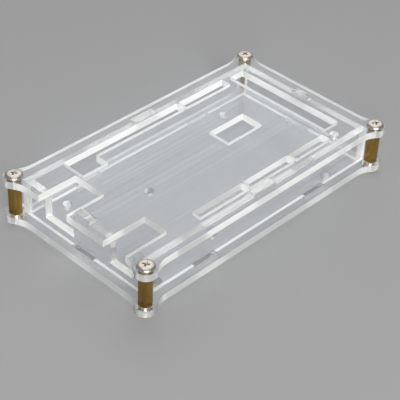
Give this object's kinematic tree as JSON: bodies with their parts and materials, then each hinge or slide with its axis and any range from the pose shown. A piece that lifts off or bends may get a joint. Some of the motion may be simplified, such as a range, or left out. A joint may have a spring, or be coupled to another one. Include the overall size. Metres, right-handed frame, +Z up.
{
  "type": "acrylic development board case",
  "caption": "Clear flat-sheet case for a development board: eared plates, tabbed walls, hexagonal corner posts and screws, with openings for ports and pin headers.",
  "frame": {"origin": "middle of the case, on the surface that its lower screw heads stand on", "axes": "+X along the case away from the ports, +Y across it towards the long back slot, +Z up"},
  "size_m": [0.1198, 0.0706, 0.0202],
  "materials": {
    "clear_acrylic": "clear, polished faces and bright laser-cut edges",
    "brass": "turned, bright",
    "nickel": "nickel plated, bright"
  },
  "bodies": {
    "root": {"top_plate": "clear_acrylic", "bottom_plate": "clear_acrylic", "front_wall": "clear_acrylic", "back_wall": "clear_acrylic", "port_wall": "clear_acrylic", "end_wall": "clear_acrylic", "post_1": "brass", "post_2": "brass", "post_3": "brass", "post_4": "brass", "top_screw_1": "nickel", "top_screw_2": "nickel", "top_screw_3": "nickel", "top_screw_4": "nickel", "bottom_screw_1": "nickel", "bottom_screw_2": "nickel", "bottom_screw_3": "nickel", "bottom_screw_4": "nickel"}
  },
  "joints": []
}
